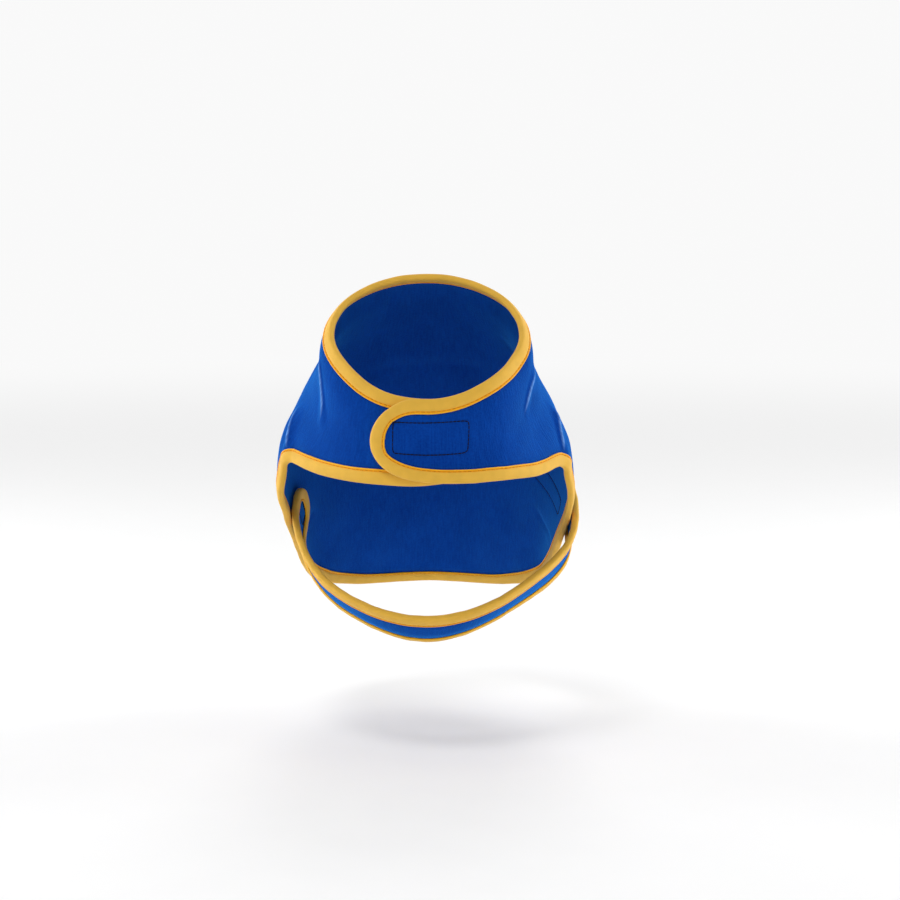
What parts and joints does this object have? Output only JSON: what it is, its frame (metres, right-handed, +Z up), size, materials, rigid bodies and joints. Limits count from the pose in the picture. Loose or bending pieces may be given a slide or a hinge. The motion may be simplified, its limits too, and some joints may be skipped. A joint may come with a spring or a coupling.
{
  "type": "dog jacket",
  "caption": "Small dog's jacket, worn and hollow: one-piece cloth coat with two overlapping chest flaps, taped edges and a belly strap that closes with hook and loop.",
  "frame": {"origin": "middle of the neck opening, where the wearer's neck holds the jacket up", "axes": "+Z up, -Y the way the chest faces, +X the jacket's own left; the body tube runs from the neck towards +Y and down, 50 degrees below the horizon"},
  "size_m": [0.1609, 0.2363, 0.194],
  "materials": {
    "blue_cloth": "matte brushed cloth",
    "yellow_tape": "matte twill tape",
    "navy_hook_and_loop": "matte hook and loop tape"
  },
  "bodies": {
    "root": {"coat_body": "blue_cloth", "coat_binding": "yellow_tape", "chest_hook_patch": "navy_hook_and_loop", "chest_loop_patch": "navy_hook_and_loop", "belly_strap": "blue_cloth", "belly_strap_binding": "yellow_tape", "belly_hook_patch": "navy_hook_and_loop", "belly_loop_patch": "navy_hook_and_loop"}
  },
  "joints": []
}
